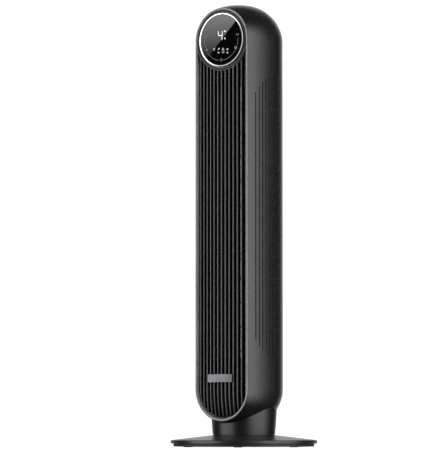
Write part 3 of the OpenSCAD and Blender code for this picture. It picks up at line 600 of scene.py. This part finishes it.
def stroke(sh, pts, w, cx=0.0, cz=0.0):
    """A line of width w through the points, with round ends."""
    for (x0, z0), (x1, z1) in zip(pts, pts[1:]):
        d = math.hypot(x1 - x0, z1 - z0)
        ux, uz = (x1 - x0) / d, (z1 - z0) / d
        loop = []
        for i in range(7):
            a = math.pi / 2 + math.pi * i / 6
            ca, sa = math.cos(a) * w / 2, math.sin(a) * w / 2
            loop.append((x0 + ux * ca - uz * sa, z0 + uz * ca + ux * sa))
        for i in range(7):
            a = -math.pi / 2 + math.pi * i / 6
            ca, sa = math.cos(a) * w / 2, math.sin(a) * w / 2
            loop.append((x1 + ux * ca - uz * sa, z1 + uz * ca + ux * sa))
        sh.prism(loop, G0, G1, sign_place(cx, cz))


def poly(sh, pts, cx, cz, r=0.5):
    sh.prism(round_loop(pts, r, 3), G0, G1, sign_place(cx, cz))


signs = Shape()
# the number: an upright pair, a bar between and a tail
stroke(signs, [(-7.6, 17.8), (-7.3, 11.6), (-5.9, 9.4), (-3.0, 8.6), (0.9, 9.0)], 1.7)
stroke(signs, [(3.0, 17.6), (2.6, 12.0), (1.9, 8.4), (2.0, 0.6)], 1.7)
disc(signs, 9.6, 17.2, 1.9)
hoop(signs, 8.6, 1.6, 0.0001, 2.3, -60, 120, 14)
icons = Shape()
ROW1 = [(-17.2, -18.2), (-6.2, -18.5), (4.8, -19.6), (15.8, -20.1)]
ROW2 = [(-6.2, -25.9), (4.8, -26.6), (15.6, -27.2)]
# four signs above, three below: moon, leaf, swirl, hill; wedge, tick, drop
hoop(icons, *ROW1[0], 0.9, 2.5, 40, 300, 18)
poly(icons, [(-2.7, -2.2), (-1.0, 1.2), (2.9, 2.4), (1.4, -1.4)], *ROW1[1], 0.9)
hoop(icons, *ROW1[2], 1.5, 2.7, 90, 400, 22)
disc(icons, ROW1[2][0], ROW1[2][1], 0.8, 12)
poly(icons, [(-3.3, -1.9), (0.1, 2.5), (3.3, -1.9), (1.1, -1.4), (-1.1, -1.4)], *ROW1[3], 0.5)
poly(icons, [(-2.3, -2.3), (-2.3, 2.3), (2.5, 0.1)], *ROW2[0], 0.5)
stroke(icons, [(-2.6, 1.5), (0, -1.4), (2.8, 1.6)], 1.5, *ROW2[1])
poly(icons, [(-2.3, -0.6), (0, 2.9), (2.3, -0.6), (0, -2.6)], *ROW2[2], 1.0)
piece("display_icons", icons.v, icons.f, M["sign_mid"], "tower", smooth=False)
piece("display_signs", signs.v, signs.f, M["sign"], "tower", smooth=False)

touch = Shape()
TR = 42.5


def at(r, a):
    return (r * math.cos(math.radians(a)), r * math.sin(math.radians(a)))


# pads at five places round the rim of the glass, joined by thin arcs
hoop(touch, *at(41.6, 167), 2.5, 3.1)
disc(touch, *at(41.8, 172), 1.0, 14)
hoop(touch, 0, 0, TR - 0.3, TR + 0.3, 178, 198, 16)
disc(touch, *at(41.4, 206.5), 1.9, 16)
hoop(touch, 0, 0, TR - 0.3, TR + 0.3, 213, 262, 24)
hoop(touch, *at(41.5, 270), 2.2, 3.0)
hoop(touch, 0, 0, TR - 0.3, TR + 0.3, 278, 327, 24)
hoop(touch, *at(41.4, 333.5), 2.2, 3.2)
disc(touch, *at(41.4, 333.5), 0.9, 12)
hoop(touch, 0, 0, TR - 0.3, TR + 0.3, 341, 362, 16)
cx, cz = at(41.8, 11)
stroke(touch, [(-3.3, 1.2), (0, -1.5), (3.3, 1.2)], 1.2, cx, cz)
piece("touch_marks", touch.v, touch.f, M["sign_dim"], "tower", smooth=False)

# ------------------------------------------------------------------ camera
AZ = math.radians(36)
SIDE = Vector((math.cos(AZ), math.sin(AZ), 0))
BACK = Vector((math.sin(AZ), -math.cos(AZ), 0))
TALL = 0.93831                              # height of the frame at the tower
target = SIDE * -0.06577 + Vector((0, 0, 0.45579))
EYE = SIDE * -0.06577 + BACK * 6.8 + Vector((0, 0, 0.05))
cam_data = bpy.data.cameras.new("camera")
cam_data.sensor_width = 36
cam_data.lens = 36 * (target - EYE).length / TALL
cam = bpy.data.objects.new("camera", cam_data)
bpy.context.scene.collection.objects.link(cam)
cam.location = EYE
cam.rotation_mode = "QUATERNION"
cam.rotation_quaternion = (target - EYE).to_track_quat("-Z", "Y")
cam_data.clip_start, cam_data.clip_end = 0.5, 80.0
bpy.context.scene.camera = cam

# ------------------------------------------------------------------ floor
fm, fnt, fbs = new_mat("floor_paper")
fv = coords(fnt)
fn = noise_(fnt, fv, 3.0, 4, 0.5)
fnt.links.new(mix_(fnt, ramp_(fnt, fn, 0, 1), (0.52, 0.52, 0.52), (0.56, 0.56, 0.56)), fbs.inputs["Base Color"])
fbs.inputs["Roughness"].default_value = 0.6
fbs.inputs["Specular IOR Level"].default_value = 0.2
flp = fnt.nodes.new("ShaderNodeLightPath")
fem = fnt.nodes.new("ShaderNodeEmission")
fem.inputs["Strength"].default_value = 0.86
fad = fnt.nodes.new("ShaderNodeAddShader")
fmx = fnt.nodes.new("ShaderNodeMixShader")
fnt.links.new(fbs.outputs[0], fad.inputs[0])
fnt.links.new(fem.outputs[0], fad.inputs[1])
fnt.links.new(flp.outputs["Is Camera Ray"], fmx.inputs[0])
fnt.links.new(fbs.outputs[0], fmx.inputs[1])
fnt.links.new(fad.outputs[0], fmx.inputs[2])
ftr = fnt.nodes.new("ShaderNodeBsdfTransparent")
fgl = fnt.nodes.new("ShaderNodeMixShader")
fnt.links.new(flp.outputs["Is Glossy Ray"], fgl.inputs[0])
fnt.links.new(fmx.outputs[0], fgl.inputs[1])
fnt.links.new(ftr.outputs[0], fgl.inputs[2])
fnt.links.new(fgl.outputs[0], [n for n in fnt.nodes if n.type == "OUTPUT_MATERIAL"][0].inputs[0])
bm = bmesh.new()
bmesh.ops.create_circle(bm, cap_ends=True, segments=128, radius=30.0)
fme = bpy.data.meshes.new("floor")
bm.to_mesh(fme)
bm.free()
floor = bpy.data.objects.new("floor", fme)
fme.materials.append(fm)
bpy.context.scene.collection.objects.link(floor)
floor.location = (0, 0, CAD_LO.z - 0.0002)

# ------------------------------------------------------------------ studio cards that the glass mirrors
def card(name, loop, away, power, lo=None, hi=None):
    """A card whose mirror image in the glass covers the outline, given in mm about the glass's centre."""
    y0 = Y_FRONT * MM
    eye = Vector((EYE.x, 2 * y0 - EYE.y, EYE.z))
    vs = []
    for x, z in loop:
        q = Vector((x * MM, y0, (CAP_HI + z) * MM))
        vs.append(q + (q - eye).normalized() * away)
    me = bpy.data.meshes.new(name)
    me.from_pydata(vs, [], [tuple(range(len(vs)))])
    m = bpy.data.materials.new(name)
    m.use_nodes = True
    nt = m.node_tree
    nt.nodes.clear()
    out = nt.nodes.new("ShaderNodeOutputMaterial")
    em = nt.nodes.new("ShaderNodeEmission")
    nt.links.new(em.outputs[0], out.inputs[0])
    if power:
        tx = nt.nodes.new("ShaderNodeTexCoord")
        sp = nt.nodes.new("ShaderNodeSeparateXYZ")
        nt.links.new(tx.outputs["Object"], sp.inputs[0])
        nt.links.new(ramp_(nt, sp.outputs["Z"], power[0], power[1], lo, hi), em.inputs["Strength"])
    else:
        em.inputs["Strength"].default_value = 0.0
    me.materials.append(m)
    o = bpy.data.objects.new(name, me)
    bpy.context.scene.collection.objects.link(o)
    o.visible_camera = False
    o.visible_shadow = False
    o.visible_diffuse = False
    return vs


vs = card("black_card", [(-64, -64), (64, -64), (64, 64), (-64, 64)], 1.22, None)
card("white_card", [(-64, -64), (64, 64), (-64, 64)], 1.2, (0.12, 4.6), min(v.z for v in vs) + 0.03, max(v.z for v in vs) - 0.015)

# ------------------------------------------------------------------ light
world = bpy.data.worlds.new("studio")
bpy.context.scene.world = world
world.use_nodes = True
wn = world.node_tree
wn.nodes.clear()
wo = wn.nodes.new("ShaderNodeOutputWorld")
tc = wn.nodes.new("ShaderNodeTexCoord")


def polar(az, el):
    """Direction with az degrees from +X towards +Y."""
    a, e = math.radians(az), math.radians(el)
    return (math.cos(a) * math.cos(e), math.sin(a) * math.cos(e), math.sin(e))


def wmath(op, *vals, clamp=False):
    n = wn.nodes.new("ShaderNodeMath")
    n.operation = op
    n.use_clamp = clamp
    for i, v in enumerate(vals):
        if isinstance(v, (int, float)):
            n.inputs[i].default_value = v
        else:
            wn.links.new(v, n.inputs[i])
    return n.outputs[0]


def fade(value, full, gone):
    """1 up to `full`, smoothly down to 0 at `gone`."""
    r = wn.nodes.new("ShaderNodeMapRange")
    r.interpolation_type = "SMOOTHSTEP"
    r.inputs["From Min"].default_value = full
    r.inputs["From Max"].default_value = gone
    r.inputs["To Min"].default_value = 1.0
    r.inputs["To Max"].default_value = 0.0
    wn.links.new(value, r.inputs["Value"])
    return r.outputs[0]


def panel(az, wide, soft, lo, hi, soft_v, power):
    """A softbox: az and wide (half width) in degrees round the horizon, lo to hi degrees above it."""
    rot = wn.nodes.new("ShaderNodeVectorRotate")
    rot.rotation_type = "Z_AXIS"
    rot.inputs["Angle"].default_value = math.radians(-az)
    wn.links.new(tc.outputs["Generated"], rot.inputs["Vector"])
    nz = wn.nodes.new("ShaderNodeVectorMath")
    nz.operation = "NORMALIZE"
    wn.links.new(rot.outputs[0], nz.inputs[0])
    sp = wn.nodes.new("ShaderNodeSeparateXYZ")
    wn.links.new(nz.outputs[0], sp.inputs[0])
    turn = wmath("ABSOLUTE", wmath("ARCTAN2", sp.outputs["Y"], sp.outputs["X"]))
    rise = wmath("ARCSINE", sp.outputs["Z"])
    mid, half = math.radians((lo + hi) / 2), math.radians((hi - lo) / 2)
    off = wmath("ABSOLUTE", wmath("SUBTRACT", rise, mid))
    h = fade(turn, math.radians(wide), math.radians(wide + soft))
    v = fade(off, half, half + math.radians(soft_v))
    return wmath("MULTIPLY", wmath("MULTIPLY", h, v), power)


parts = [
    panel(126, 10, 42, -14, 22, 22, 0.95),        # white backdrop behind the object
    panel(0, 12, 38, -12, 18, 34, 4.0),          # softbox at the right
    panel(240, 18, 14, 0, 20, 24, 4.4),        # softbox at the left, in front
    panel(180, 180, 1, 74, 106, 12, 0.3),       # weak light overhead
]
total = None
for p in parts:
    if total is None:
        total = p
    else:
        ad = wn.nodes.new("ShaderNodeMath")
        wn.links.new(total, ad.inputs[0])
        wn.links.new(p, ad.inputs[1])
        total = ad.outputs[0]
ad = wn.nodes.new("ShaderNodeMath")
wn.links.new(total, ad.inputs[0])
ad.inputs[1].default_value = 0.02
total = ad.outputs[0]
bg = wn.nodes.new("ShaderNodeBackground")
bg.inputs["Color"].default_value = (1, 1, 1, 1)
wn.links.new(total, bg.inputs["Strength"])
bw = wn.nodes.new("ShaderNodeBackground")
bw.inputs["Color"].default_value = (1, 1, 1, 1)
bw.inputs["Strength"].default_value = 1.05
lp = wn.nodes.new("ShaderNodeLightPath")
mx = wn.nodes.new("ShaderNodeMixShader")
wn.links.new(lp.outputs["Is Camera Ray"], mx.inputs[0])
wn.links.new(bg.outputs[0], mx.inputs[1])
wn.links.new(bw.outputs[0], mx.inputs[2])
wn.links.new(mx.outputs[0], wo.inputs[0])

bpy.context.scene.view_settings.view_transform = "Standard"
bpy.context.scene.view_settings.look = "None"
bpy.context.scene.view_settings.exposure = 0.0
